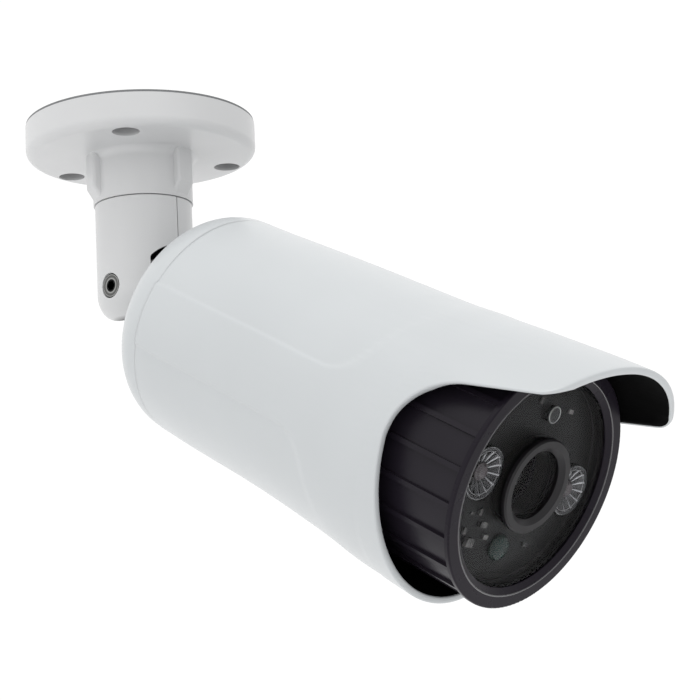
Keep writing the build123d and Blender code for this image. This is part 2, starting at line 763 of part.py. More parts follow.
with BuildPart() as led_standoffs:
    with BuildSketch(Plane.XY.offset(chassis_front_s)):
        for angle in standoff_angles:
            with PolarLocations(standoff_circle_r, 1, start_angle=angle):
                RegularPolygon(standoff_flats / 2, 6, major_radius=False)
                Circle(m3_r + thread_fit, mode=Mode.SUBTRACT)
    extrude(amount=led_board_back_s - chassis_front_s)
save(led_standoffs, "led_standoffs", on_camera)

with BuildPart() as standoff_screws:
    for angle in standoff_angles:
        with BuildSketch(Plane.XY.offset(chassis_front_s - sheet_thick)):
            with PolarLocations(standoff_circle_r, 1, start_angle=angle):
                Circle(m3_r)
        extrude(amount=standoff_screw_length)
        with BuildSketch(Plane.XY.offset(chassis_front_s - sheet_thick)):
            with PolarLocations(standoff_circle_r, 1, start_angle=angle):
                Circle(m3_head_r)
        extrude(amount=-m3_head_height)
save(standoff_screws, "standoff_screws", on_camera)

# ---------------------------------------------------------------------------------------------
# Chassis: a bent aluminium sheet that carries the lens and the boards
# ---------------------------------------------------------------------------------------------
chassis_half_width = 20.0
floor_bottom = land_top
floor_top = floor_bottom + sheet_thick
floor_start_s = 60.0
upright_s = 118.0
upright_top = 20.0
upright_window = (16.0, 12.0)
front_plate_r = 29.5
front_plate_hole_r = 16.2
sensor_post_spread = (30.0, 23.0)   # distances between the sensor board's screws

with BuildPart() as chassis:
    add(box_body((-chassis_half_width, chassis_half_width), (floor_bottom, floor_top),
                 (floor_start_s, chassis_front_s)))
    # Front plate with the lens hole
    with BuildSketch(Plane.XY.offset(chassis_front_s - sheet_thick)):
        Circle(front_plate_r)
    extrude(amount=sheet_thick)
    add(ring_body(front_plate_hole_r, 0, chassis_front_s - sheet_thick, chassis_front_s),
        mode=Mode.SUBTRACT)
    # Upright that holds the sensor board
    add(box_body((-chassis_half_width, chassis_half_width), (floor_bottom, upright_top),
                 (upright_s, upright_s + sheet_thick)))
    with BuildSketch(Plane.XY.offset(upright_s)):
        Rectangle(*upright_window)
        with GridLocations(*sensor_post_spread, 2, 2):
            Circle(m2_5_r + hole_fit)
    extrude(amount=sheet_thick, mode=Mode.SUBTRACT)
    for land_s in land_places:
        add(post_body(m3_r + hole_fit, 0, land_s, (floor_bottom, floor_top)), mode=Mode.SUBTRACT)
    with BuildSketch(Plane.XY.offset(chassis_front_s - sheet_thick)):
        for angle in standoff_angles:
            with PolarLocations(standoff_circle_r, 1, start_angle=angle):
                Circle(m3_r + hole_fit)
    extrude(amount=sheet_thick, mode=Mode.SUBTRACT)
save(chassis, "chassis", on_camera)

with BuildPart() as chassis_screws:
    for land_s in land_places:
        add(post_body(m3_r, 0, land_s, (land_screw_y, floor_top)))
        add(post_body(m3_head_r, 0, land_s, (floor_top, floor_top + m3_head_height)))
save(chassis_screws, "chassis_screws", on_camera)

# ---------------------------------------------------------------------------------------------
# Sensor board, lens holder and the switched infrared filter
# ---------------------------------------------------------------------------------------------
sensor_board_s = 122.5
sensor_board_size = (40.0, 32.0)
sensor_chip = (11.0, 9.0, 1.3)
spacer_r = 2.4
sensor_screw_length = 11.5
holder_start_s = sensor_board_s + board_thick
holder_end_s = 134.0
holder_half = (18.5, 15.0)
holder_corner_r = 2.0
holder_opening = (13.0, 12.0)
holder_screw_depth = 6.0
lens_thread_r = 12.6
slot_start_s = 126.0
slot_end_s = 128.4
filter_frame_half = (11.0, 7.0)
filter_travel = 11.0
filter_frame_x = filter_travel / 2
filter_size = 9.6
filter_pane_s = (126.9, 127.5)

with BuildPart() as sensor_board:
    with BuildSketch(Plane.XY.offset(sensor_board_s)):
        Rectangle(*sensor_board_size)
        with GridLocations(*sensor_post_spread, 2, 2):
            Circle(m2_5_r + hole_fit, mode=Mode.SUBTRACT)
    extrude(amount=board_thick)
save(sensor_board, "sensor_board", on_camera)

with BuildPart() as image_sensor:
    with BuildSketch(Plane.XY.offset(holder_start_s)):
        Rectangle(sensor_chip[0], sensor_chip[1])
    extrude(amount=sensor_chip[2])
save(image_sensor, "image_sensor", on_camera)

with BuildPart() as sensor_spacers:
    with BuildSketch(Plane.XY.offset(upright_s + sheet_thick)):
        with GridLocations(*sensor_post_spread, 2, 2):
            Circle(spacer_r)
            Circle(m2_5_r + hole_fit, mode=Mode.SUBTRACT)
    extrude(amount=sensor_board_s - upright_s - sheet_thick)
save(sensor_spacers, "sensor_spacers", on_camera)

with BuildPart() as sensor_screws:
    with BuildSketch(Plane.XY.offset(upright_s)):
        with GridLocations(*sensor_post_spread, 2, 2):
            Circle(m2_5_r)
    extrude(amount=sensor_screw_length)
    with BuildSketch(Plane.XY.offset(upright_s)):
        with GridLocations(*sensor_post_spread, 2, 2):
            Circle(m2_5_head_r)
    extrude(amount=-m2_5_head_height)
save(sensor_screws, "sensor_screws", on_camera)

with BuildPart() as lens_holder:
    with BuildSketch(Plane.XY.offset(holder_start_s)):
        Rectangle(2 * holder_half[0], 2 * holder_half[1])
    extrude(amount=holder_end_s - holder_start_s)
    fillet(lens_holder.edges().filter_by(Axis.Z), holder_corner_r)
    # Opening for the sensor, slot for the filter frame (open on the right) and lens thread
    with BuildSketch(Plane.XY.offset(holder_start_s)):
        Rectangle(*holder_opening)
    extrude(amount=slot_start_s - holder_start_s, mode=Mode.SUBTRACT)
    slot_left = -filter_frame_half[0] - filter_travel / 2 - clearance
    add(box_body((slot_left, far), (-filter_frame_half[1] - clearance,
                                    filter_frame_half[1] + clearance),
                 (slot_start_s, slot_end_s)), mode=Mode.SUBTRACT)
    add(ring_body(lens_thread_r + thread_fit, 0, slot_end_s, holder_end_s), mode=Mode.SUBTRACT)
    with BuildSketch(Plane.XY.offset(holder_start_s)):
        with GridLocations(*sensor_post_spread, 2, 2):
            Circle(m2_5_r + thread_fit)
    extrude(amount=holder_screw_depth, mode=Mode.SUBTRACT)
save(lens_holder, "lens_holder", on_camera)

with BuildPart() as filter_frame:
    with BuildSketch(Plane.XY.offset(slot_start_s + clearance)):
        with Locations((filter_frame_x, 0)):
            Rectangle(2 * filter_frame_half[0], 2 * filter_frame_half[1])
        with Locations((0, 0), (filter_travel, 0)):
            Rectangle(filter_size, filter_size, mode=Mode.SUBTRACT)
    extrude(amount=slot_end_s - slot_start_s - 2 * clearance)
save(filter_frame, "filter_frame", on_camera)

for filter_name, filter_x in (("cut_filter", 0.0), ("clear_filter", filter_travel)):
    pane_half = filter_size / 2 - thread_fit
    with BuildPart() as filter_pane:
        add(box_body((filter_x - pane_half, filter_x + pane_half), (-pane_half, pane_half),
                     filter_pane_s))
    save(filter_pane, filter_name, on_camera)

coil_half_length = 7.0
coil_flange = 2.5
coil_foot_height = 2.0
coil_height = 6.5
coil_span_s = (126.5, 132.0)
winding_r = 2.6

with BuildPart() as filter_coil:
    # Actuator that drives the filter frame: a foot, two flanges and the winding between them
    foot_y = holder_half[1]
    flange_y = (foot_y + coil_foot_height, foot_y + coil_height)
    winding_half = coil_half_length - coil_flange
    add(box_body((-coil_half_length, coil_half_length), (foot_y, flange_y[0]),
                 (coil_span_s[0] - 1, coil_span_s[1] + 1)))
    with BuildSketch(Plane.YZ.offset(-winding_half)):
        with Locations((sum(flange_y) / 2, sum(coil_span_s) / 2)):
            Circle(winding_r)
    extrude(amount=2 * winding_half)
    add(box_body((-coil_half_length, -winding_half), flange_y, coil_span_s))
    add(box_body((winding_half, coil_half_length), flange_y, coil_span_s))
save(filter_coil, "filter_coil", on_camera)

# ---------------------------------------------------------------------------------------------
# Zoom lens: fixed body, two turning rings and the two cells that they move
# ---------------------------------------------------------------------------------------------
lens_r = 12.7
lens_back_s = 129.0
lens_step_s = 162.0
lens_front_s = window_back_s - window_seal_thick
lens_nose_r = 10.7
cell_r = 9.93
cell_bore_r = 10.0
cell_glass_r = 8.0
ring_r = 15.2
stop_start_s = 146.3
stop_end_s = 149.7
stop_r = 14.6
lens_collar_r = 14.4
nose_bore_r = 9.35
front_lens_seat_s = 164.2
front_seat_bore_r = 8.6
bore_start_s = 132.5
bore_end_s = 163.2
rear_seat_s = 131.5
rear_seat_bore_r = 7.4
rear_lens_r = 8.0
front_lens_bulge = 2.2
collar_back_s = 159.95
zoom_cell_s = (137.0, 145.0)
focus_cell_s = (153.5, 160.5)
zoom_travel = 4.0             # to each side
focus_travel = 2.0
pin_r = 0.8
pin_reach = 12.4
grip_count = 24
grip_r = 0.5
thumb_screw_r = 1.0
thumb_knob_r = 2.2
thumb_screw_span = (13.2, 17.0)     # screw, then knob
thumb_knob_span = (17.0, 20.0)
cell_glass_inset = 1.0


def cell_middle(span):
    return (span[0] + span[1]) / 2


with BuildPart() as lens_body:
    add(turned_body(((rear_lens_r + running_fit, lens_back_s), (lens_thread_r, lens_back_s),
                     (lens_thread_r, holder_end_s), (lens_r, holder_end_s),
                     (lens_r, stop_start_s), (stop_r, stop_start_s), (stop_r, stop_end_s),
                     (lens_r, stop_end_s), (lens_r, lens_step_s), (lens_nose_r, lens_step_s),
                     (lens_nose_r, lens_front_s), (nose_bore_r, lens_front_s),
                     (nose_bore_r, front_lens_seat_s), (front_seat_bore_r, front_lens_seat_s),
                     (front_seat_bore_r, bore_end_s), (cell_bore_r, bore_end_s),
                     (cell_bore_r, bore_start_s), (rear_seat_bore_r, bore_start_s),
                     (rear_seat_bore_r, rear_seat_s), (rear_lens_r + running_fit, rear_seat_s))))
    # Straight slots that the two cells' pins run in
    for span, travel in ((zoom_cell_s, zoom_travel), (focus_cell_s, focus_travel)):
        reach = travel + pin_r + clearance
        middle = cell_middle(span)
        add(box_body((-pin_r - clearance, pin_r + clearance), (cell_bore_r - 1, lens_r + 0.5),
                     (middle - reach, middle + reach)), mode=Mode.SUBTRACT)
save(lens_body, "lens_body", on_camera)

with BuildPart() as lens_collar:
    add(ring_body(lens_collar_r, lens_r + thread_fit, collar_back_s, lens_step_s))
save(lens_collar, "lens_collar", on_camera)

with BuildPart() as front_lens:
    add(lens_glass(nose_bore_r - running_fit, front_lens_seat_s, trim_start_s, 0,
                   front_lens_bulge))
save(front_lens, "front_lens", on_camera)

with BuildPart() as rear_lens:
    add(lens_glass(rear_lens_r, lens_back_s + 0.4, rear_seat_s, 0.6, 0))
save(rear_lens, "rear_lens", on_camera)


def grip_ring(start, end):
    """A turning ring with shallow grip grooves and the hole of its thumb screw."""
    with BuildPart() as body:
        with BuildSketch(Plane.XY.offset(start)):
            Circle(ring_r)
            Circle(lens_r + running_fit, mode=Mode.SUBTRACT)
            with PolarLocations(ring_r, grip_count, start_angle=180 / grip_count):
                Circle(grip_r, mode=Mode.SUBTRACT)
        extrude(amount=end - start)
        add(post_body(thumb_screw_r, 0, (start + end) / 2, (lens_r, ring_r + 1)),
            mode=Mode.SUBTRACT)
    return body


def thumb_screw(middle):
    """The small knobbed screw that turns and locks a ring."""
    with BuildPart() as body:
        add(post_body(thumb_screw_r, 0, middle, thumb_screw_span))
        add(post_body(thumb_knob_r, 0, middle, thumb_knob_span))
    return body


def lens_cell(span):
    """A sliding tube that holds a lens, with the pin that guides it."""
    with BuildPart() as body:
        add(ring_body(cell_r, cell_glass_r, span[0], span[1]))
        add(post_body(pin_r, 0, cell_middle(span), (cell_glass_r + 0.6, pin_reach)))
    return body


zoom_ring_s = (holder_end_s + 0.4, stop_start_s - clearance)
focus_ring_s = (stop_end_s + clearance, collar_back_s - clearance)
save(grip_ring(*zoom_ring_s), "zoom_ring", on_camera)
save(thumb_screw(cell_middle(zoom_ring_s)), "zoom_thumb_screw", on_camera)
save(lens_cell(zoom_cell_s), "zoom_cell", on_camera)
save(grip_ring(*focus_ring_s), "focus_ring", on_camera)
save(thumb_screw(cell_middle(focus_ring_s)), "focus_thumb_screw", on_camera)
save(lens_cell(focus_cell_s), "focus_cell", on_camera)

with BuildPart() as zoom_lens:
    add(lens_glass(cell_glass_r, zoom_cell_s[0] + cell_glass_inset,
                   zoom_cell_s[1] - cell_glass_inset, 1.2, 1.2))
save(zoom_lens, "zoom_lens", on_camera)

with BuildPart() as focus_lens:
    add(lens_glass(cell_glass_r, focus_cell_s[0] + cell_glass_inset,
                   focus_cell_s[1] - cell_glass_inset, 1.0, 1.4))
save(focus_lens, "focus_lens", on_camera)

# ---------------------------------------------------------------------------------------------
# Main board and power board, stacked on the chassis floor behind the lens
# ---------------------------------------------------------------------------------------------
main_board_y = -13.5
main_board_top = main_board_y + board_thick
power_board_y = 6.0
power_board_top = power_board_y + board_thick
board_half_width = 17.0
board_span_s = (64.0, 114.0)
post_x = 14.0
post_places_s = (68.0, 110.0)
post_r = 2.5
board_screw_length = 6.0      # into the spacer
can_r = 4.0
can_height = 11.0


def board_body(bottom_y):
    with BuildPart() as body:
        add(box_body((-board_half_width, board_half_width), (bottom_y, bottom_y + board_thick),
                     board_span_s))
        for x in (-post_x, post_x):
            for s in post_places_s:
                add(post_body(m3_r + hole_fit, x, s, (bottom_y, bottom_y + board_thick)),
                    mode=Mode.SUBTRACT)
    return body


save(board_body(main_board_y), "main_board", on_camera)
save(board_body(power_board_y), "power_board", on_camera)

with BuildPart() as board_spacers:
    for x in (-post_x, post_x):
        for s in post_places_s:
            add(post_body(post_r, x, s, (floor_top, main_board_y)))
            add(post_body(post_r, x, s, (main_board_y + board_thick, power_board_y)))
            add(post_body(m3_r + thread_fit, x, s, (power_board_y - board_screw_length - 1,
                                                    power_board_y)), mode=Mode.SUBTRACT)
save(board_spacers, "board_spacers", on_camera)

with BuildPart() as board_screws:
    for x in (-post_x, post_x):
        for s in post_places_s:
            add(post_body(m3_r, x, s, (power_board_y - board_screw_length, power_board_top)))
            add(post_body(m3_head_r, x, s, (power_board_top, power_board_top + m3_head_height)))
save(board_screws, "board_screws", on_camera)

# Blocks on the boards: limits across and along, and height
main_board_chips = (
    ((-7, 7), (84, 98), 1.6),
    ((-7, 3), (101, 113), 1.2),
    ((8.5, 15.5), (86, 92), 3.0),
    ((-16, -9.5), (88, 95), 3.0),
    ((-6, 6), (65, 70), 5.0),
    ((5, 9), (74, 80), 1.0),
    ((-9, -4), (75, 79), 1.0),
)
power_board_chips = (
    ((-7, 7), (82, 94), 9.5),
    ((-9, 9), (65.5, 73), 8.0),
    ((8.5, 15.5), (77, 84), 4.0),
    ((-15.5, -9), (98, 104), 4.0),
)
power_board_cans = ((-11.5, 79.0), (-11.5, 90.0), (9.0, 101.0))   # electrolytic capacitors

with BuildPart() as main_board_parts:
    for x_range, s_range, rise in main_board_chips:
        add(box_body(x_range, (main_board_top, main_board_top + rise), s_range))
save(main_board_parts, "main_board_parts", on_camera)

with BuildPart() as power_board_parts:
    for x_range, s_range, rise in power_board_chips:
        add(box_body(x_range, (power_board_top, power_board_top + rise), s_range))
    for can_x, can_s in power_board_cans:
        add(post_body(can_r, can_x, can_s, (power_board_top, power_board_top + can_height)))
save(power_board_parts, "power_board_parts", on_camera)
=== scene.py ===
import json
from math import cos, pi, radians, sin, sqrt

import bmesh
import bpy
from mathutils import Matrix, Vector


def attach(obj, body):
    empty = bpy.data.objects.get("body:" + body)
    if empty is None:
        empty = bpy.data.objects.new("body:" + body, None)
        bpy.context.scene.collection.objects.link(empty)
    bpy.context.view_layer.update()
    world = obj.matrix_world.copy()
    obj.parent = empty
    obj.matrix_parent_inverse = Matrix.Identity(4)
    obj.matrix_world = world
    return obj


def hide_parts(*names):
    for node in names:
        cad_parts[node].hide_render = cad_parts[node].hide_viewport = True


# A bullet security camera on a ceiling bracket, in metres, in the CAD model's frame.
# Along the camera itself, positions are given in the barrel's own frame: right, top and
# forward, measured from the tilt axis. "s" is the distance forward along the barrel.

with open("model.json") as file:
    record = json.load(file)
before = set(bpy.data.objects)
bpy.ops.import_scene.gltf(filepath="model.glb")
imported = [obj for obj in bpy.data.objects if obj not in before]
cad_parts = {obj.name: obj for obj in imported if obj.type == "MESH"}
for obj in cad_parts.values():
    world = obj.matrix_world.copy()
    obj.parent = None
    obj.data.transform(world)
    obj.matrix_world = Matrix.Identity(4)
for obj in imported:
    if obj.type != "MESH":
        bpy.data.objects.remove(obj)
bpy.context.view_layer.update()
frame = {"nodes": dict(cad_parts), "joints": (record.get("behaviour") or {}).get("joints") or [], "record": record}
nodes = frame["nodes"]
MM = 0.001

# ---------------------------------------------------------------------------------------------
# The barrel's own frame, read from the joints
# ---------------------------------------------------------------------------------------------
joints = {joint["name"]: joint for joint in frame["joints"]}
TILT_POINT = Vector(joints["roll"]["pos_m"])
FORWARD = Vector(joints["roll"]["axis"]).normalized()
RIGHT = Vector(joints["filter_move"]["axis"]).normalized()
TOP = FORWARD.cross(RIGHT).normalized()


def at(right, top, forward):
    """The world place of a point given in the barrel's frame."""
    return TILT_POINT + RIGHT * right + TOP * top + FORWARD * forward


def span_along(node, axis):
    """The lowest and highest place of a CAD node along an axis through the tilt point."""
    places = [(vertex.co - TILT_POINT).dot(axis) for vertex in nodes[node].data.vertices]
    return min(places), max(places)


def radius_of(node):
    """The largest distance of a CAD node from the barrel's long axis."""
    best = 0.0
    for vertex in nodes[node].data.vertices:
        arm = vertex.co - TILT_POINT
        best = max(best, (arm - FORWARD * arm.dot(FORWARD)).length)
    return best


# ---------------------------------------------------------------------------------------------
# Material kit
# ---------------------------------------------------------------------------------------------
class Surface:
    """A node material in the making, with object coordinates at hand."""

    def __init__(self, name):
        self.mat = bpy.data.materials.new(name)
        self.mat.use_nodes = True
        self.tree = self.mat.node_tree
        self.shader = self.tree.nodes["Principled BSDF"]
        self.place = self.tree.nodes.new("ShaderNodeTexCoord").outputs["Object"]

    def node(self, kind, **settings):
        made = self.tree.nodes.new(kind)
        for key, value in settings.items():
            setattr(made, key, value)
        return made

    def link(self, source, target):
        self.tree.links.new(source, target)

    def stretched(self, scale):
        """Object coordinates multiplied by three factors."""
        mapping = self.node("ShaderNodeMapping")
        mapping.inputs["Scale"].default_value = scale
        self.link(self.place, mapping.inputs["Vector"])
        return mapping.outputs["Vector"]

    def noise(self, scale, detail=3.0, vector=None):
        made = self.node("ShaderNodeTexNoise")
        made.inputs["Scale"].default_value = scale
        made.inputs["Detail"].default_value = detail
        self.link(vector or self.place, made.inputs["Vector"])
        return made.outputs["Fac"]

    def cells(self, scale):
        made = self.node("ShaderNodeTexVoronoi")
        made.inputs["Scale"].default_value = scale
        self.link(self.place, made.inputs["Vector"])
        return made.outputs["Distance"]

    def ramp(self, factor, stops):
        """A colour ramp through (position, colour) stops."""
        made = self.node("ShaderNodeValToRGB")
        elements = made.color_ramp.elements
        while len(elements) < len(stops):
            elements.new(0.5)
        for element, (position, colour) in zip(elements, stops):
            element.position = position
            element.color = (*colour, 1.0)
        self.link(factor, made.inputs["Fac"])
        return made.outputs["Color"]

    def range(self, factor, low, high):
        made = self.node("ShaderNodeMapRange")
        made.inputs["To Min"].default_value = low
        made.inputs["To Max"].default_value = high
        self.link(factor, made.inputs["Value"])
        return made.outputs["Result"]

    def maths(self, operation, first, second):
        """One step of arithmetic; the second input is an output or a plain number."""
        made = self.node("ShaderNodeMath", operation=operation)
        self.link(first, made.inputs[0])
        if isinstance(second, float):
            made.inputs[1].default_value = second
        else:
            self.link(second, made.inputs[1])
        return made.outputs["Value"]

    def flat_distance(self, kept_axes, place):
        """Distance from a place, measured along the kept axes alone."""
        flat = self.node("ShaderNodeVectorMath", operation="MULTIPLY")
        flat.inputs[1].default_value = kept_axes
        self.link(self.place, flat.inputs[0])
        gap = self.node("ShaderNodeVectorMath", operation="DISTANCE")
        self.link(flat.outputs["Vector"], gap.inputs[0])
        gap.inputs[1].default_value = place
        return gap.outputs["Value"]

    def colour(self, factor, dark, light, low=0.35, high=0.65):
        self.link(self.ramp(factor, ((low, dark), (high, light))),
                  self.shader.inputs["Base Color"])

    def roughness(self, factor, low, high):
        self.link(self.range(factor, low, high), self.shader.inputs["Roughness"])

    def bump(self, height, distance, strength=1.0):
        made = self.node("ShaderNodeBump")
        made.inputs["Distance"].default_value = distance
        made.inputs["Strength"].default_value = strength
        self.link(height, made.inputs["Height"])
        self.link(made.outputs["Normal"], self.shader.inputs["Normal"])

    def set(self, **values):
        for key, value in values.items():
            self.shader.inputs[key.replace("_", " ")].default_value = value


def shade(colour, factor):
    """A colour made darker or lighter."""
    return tuple(channel * factor for channel in colour)


def painted(name, colour, rough, peel_mm, peel_height, spread=0.04, coat=0.0, gloss=0.5):
    """Sprayed paint: a slight orange peel and a faint change of tone."""
    made = Surface(name)
    made.colour(made.noise(28.0, 2.0), shade(colour, 1 - spread), shade(colour, 1 + spread))
    made.roughness(made.noise(160.0, 4.0), rough - 0.05, rough + 0.05)
    made.bump(made.noise(1000.0 / peel_mm, 2.0), peel_height)
    made.set(Coat_Weight=coat, Coat_Roughness=0.25, Specular_IOR_Level=gloss)
    return made.mat


def moulded(name, colour, rough, grain_mm=0.25, grain_height=0.00001, spread=0.12, gloss=0.5):
    """Moulded plastic or rubber: a fine grain and an uneven gloss."""
    made = Surface(name)
    made.colour(made.noise(90.0, 4.0), shade(colour, 1 - spread), shade(colour, 1 + spread))
    made.roughness(made.noise(400.0, 3.0), rough - 0.07, rough + 0.07)
    made.bump(made.cells(1000.0 / grain_mm), grain_height)
    made.set(Specular_IOR_Level=gloss)
    return made.mat


def brushed(name, colour, rough, lines=(1.0, 1.0, 1.0), spread=0.08):
    """Bare metal with fine lines along the axes whose factor is small."""
    made = Surface(name)
    streaks = made.noise(900.0, 5.0, made.stretched(lines))
    made.colour(streaks, shade(colour, 1 - spread), shade(colour, 1 + spread))
    made.roughness(streaks, rough - 0.08, rough + 0.1)
    made.bump(streaks, 0.000004)
    made.set(Metallic=1.0)
    return made.mat


def foam(name, colour):
    """Closed-cell gasket foam."""
    made = Surface(name)
    made.colour(made.cells(2600.0), shade(colour, 0.7), colour, 0.1, 0.5)
    made.roughness(made.noise(500.0), 0.8, 0.95)
    made.bump(made.cells(2600.0), 0.00006)
    return made.mat


def circuit_board(name, mask, track, gloss):
    """Solder mask over copper tracks, with small round pads."""
    made = Surface(name)
    tracks = made.node("ShaderNodeTexBrick")
    tracks.inputs["Scale"].default_value = 260.0
    tracks.inputs["Mortar Size"].default_value = 0.035
    tracks.inputs["Color1"].default_value = (*mask, 1)
    tracks.inputs["Color2"].default_value = (*shade(mask, 0.8), 1)
    tracks.inputs["Mortar"].default_value = (*track, 1)
    turned = made.node("ShaderNodeMapping")
    turned.inputs["Rotation"].default_value = (0.6, 0.3, 0.8)
    made.link(made.place, turned.inputs["Vector"])
    made.link(turned.outputs["Vector"], tracks.inputs["Vector"])
    made.link(tracks.outputs["Color"], made.shader.inputs["Base Color"])
    made.roughness(made.noise(700.0), gloss - 0.06, gloss + 0.06)
    made.bump(tracks.outputs["Fac"], 0.00001, 0.4)
    made.set(Specular_IOR_Level=0.15)
    return made.mat


def glass(name, tint, ior=1.5):
    """Clear or tinted glass with the faintest unevenness; a low ior stands for an
    anti-reflection coating."""
    made = Surface(name)
    made.colour(made.noise(40.0, 1.0), shade(tint, 0.985), tint)
    made.roughness(made.noise(60.0), 0.0, 0.003)
    made.set(Transmission_Weight=1.0, IOR=ior)
    return made.mat


BRACKET_WHITE = (0.602, 0.606, 0.611)
SATIN_BLACK = (0.0125, 0.0100, 0.0152)
SHELL_WHITE = (0.545, 0.568, 0.580)
POLISHED_BLACK = (0.030, 0.028, 0.034)
DEEP_BLACK = (0.0012, 0.0012, 0.0013)
WHITE_SHELL = painted("shell_paint", SHELL_WHITE, 0.34, 1.4, 0.000004, spread=0.012, coat=0.40)
WHITE_BRACKET = painted("bracket_paint", BRACKET_WHITE, 0.34, 1.0, 0.000006, spread=0.015, coat=0.25)
BLACK_SATIN = painted("black_satin_paint", SATIN_BLACK, 0.36, 0.6, 0.000008, spread=0.10, gloss=0.20)
BLACK_BEZEL = painted("black_bezel_paint", SATIN_BLACK, 0.28, 0.6, 0.000002, spread=0.10, gloss=0.12)
BLACK_GLOSS = painted("polished_edge", POLISHED_BLACK, 0.16, 0.6, 0.000001, spread=0.10, coat=1.0)
BLACK_INSIDE = painted("black_inside_paint", DEEP_BLACK, 0.7, 0.6, 0.00001, spread=0.10, gloss=0.03)
BLACK_PLASTIC = moulded("black_plastic", (0.012, 0.011, 0.013), 0.40, 0.6, 0.000002, gloss=0.30)
BLACK_RUBBER = moulded("black_rubber", (0.010, 0.010, 0.011), 0.75, 0.5, gloss=0.15)
CHIP_PLASTIC = moulded("chip_plastic", (0.025, 0.025, 0.028), 0.55, 0.15)
GASKET_FOAM = foam("gasket_foam", (0.20, 0.205, 0.21))
STEEL = brushed("zinc_steel", (0.56, 0.56, 0.55), 0.32)
CHROME = brushed("chrome_steel", (0.50, 0.50, 0.51), 0.22)
BRASS = brushed("turned_brass", (0.70, 0.50, 0.20), 0.30)
SHEET = brushed("aluminium_sheet", (0.66, 0.67, 0.68), 0.36, (0.03, 1.0, 1.0))
WINDING = brushed("enamelled_winding", (0.55, 0.22, 0.08), 0.35, (0.02, 1.0, 1.0))
BLACK_BOARD = circuit_board("black_board", (0.005, 0.005, 0.0055), (0.012, 0.0125, 0.013), 0.34)
GREEN_BOARD = circuit_board("green_board", (0.010, 0.075, 0.028), (0.03, 0.14, 0.06), 0.32)
WINDOW_GLASS = glass("window_glass", (0.82, 0.825, 0.835), ior=1.09)
LENS_GLASS = glass("coated_lens_glass", (0.42, 0.38, 0.52), ior=1.25)
FILTER_GLASS = glass("filter_glass", (0.45, 0.85, 0.88))
SOLDERED = moulded("soldered_parts", (0.16, 0.155, 0.15), 0.25, 0.9, 0.00004, 0.9)
PHOTOCELL = moulded("photocell_resin", (0.012, 0.013, 0.013), 0.12, 0.4, 0.000004)
EMITTER = moulded("emitter_resin", (0.10, 0.085, 0.09), 0.15, 0.4, 0.000004)
SENSOR_RESIN = moulded("sensor_resin", (0.018, 0.036, 0.031), 0.16, 0.5, 0.000004, gloss=0.3)


def mirror_metal(name):
    """Metallised plastic with the faint ripple of its moulding; its colour is kept very dark, a painted dark
    reflection.
    """
    made = Surface(name)
    # Painted reflection: the very dark metal colour stands in for a dark reflection
    made.colour(made.noise(300.0), (0.05, 0.05, 0.052), (0.11, 0.11, 0.113))
    made.roughness(made.noise(900.0), 0.06, 0.16)
    made.bump(made.noise(500.0, 1.0), 0.000001)
    made.set(Metallic=1.0)
    return made.mat


REFLECTOR = mirror_metal("reflector_metal")


def bracket_coat(made):
    """The gloss, fine peel and clear coat that the bracket's castings share."""
    made.roughness(made.noise(160.0, 4.0), 0.29, 0.39)
    made.bump(made.noise(1000.0, 2.0), 0.000006)
    made.set(Coat_Weight=0.25, Coat_Roughness=0.25)


# The colour of the painted shade inside the deep screw recesses
RECESS_PAINTED_SHADE = (0.40, 0.40, 0.405)
RECESS_RADIUS = 4.75 * MM
RECESS_START_Z = -12 * MM
RECESS_FADE = 1.2 * MM


def recess_shaded_paint(name, base, places):
    """Bracket paint with painted shade, a darker grey, inside the deep screw recesses."""
    made = Surface(name)
    gaps = [made.flat_distance((1, 1, 0), place) for place in places]
    nearest = gaps[0]
    for gap in gaps[1:]:
        nearest = made.maths("MINIMUM", nearest, gap)
    inside = made.maths("LESS_THAN", nearest, RECESS_RADIUS)
    split = made.node("ShaderNodeSeparateXYZ")
    made.link(made.place, split.inputs["Vector"])
    above = made.node("ShaderNodeMapRange")
    above.inputs["From Min"].default_value = RECESS_START_Z
    above.inputs["From Max"].default_value = RECESS_START_Z + RECESS_FADE
    made.link(split.outputs["Z"], above.inputs["Value"])
    # Painted shade: inside a recess and above the fade, the colour turns darker grey
    recess_shade_mask = made.maths("MULTIPLY", inside, above.outputs["Result"])
    tones = ((0.35, shade(base, 0.985)), (0.65, shade(base, 1.015)))
    mixed = made.node("ShaderNodeMix", data_type="RGBA")
    made.link(recess_shade_mask, mixed.inputs["Factor"])
    made.link(made.ramp(made.noise(28.0, 2.0), tones), mixed.inputs["A"])
    mixed.inputs["B"].default_value = (*RECESS_PAINTED_SHADE, 1)
    made.link(mixed.outputs["Result"], made.shader.inputs["Base Color"])
    bracket_coat(made)
    return made.mat


screw_mount = next(m for m in frame["record"]["mounts"] if m["name"] == "screw_holes")
circle_r = screw_mount["dims"]["pcd_mm"] * MM / 2
hole_count = screw_mount["dims"]["count"]
FIRST_HOLE_ANGLE = 98.5
hole_turns = [radians(FIRST_HOLE_ANGLE + hole * 360 / hole_count) for hole in range(hole_count)]
hole_places = [(circle_r * cos(turn), circle_r * sin(turn), 0) for turn in hole_turns]
BRACKET_RECESS_SHADE_PAINT = recess_shaded_paint("bracket_paint_with_recess_shade", BRACKET_WHITE, hole_places)

# The distance from the screw's axis at which its colour ramp ends
SCREW_RAMP = 5 * MM


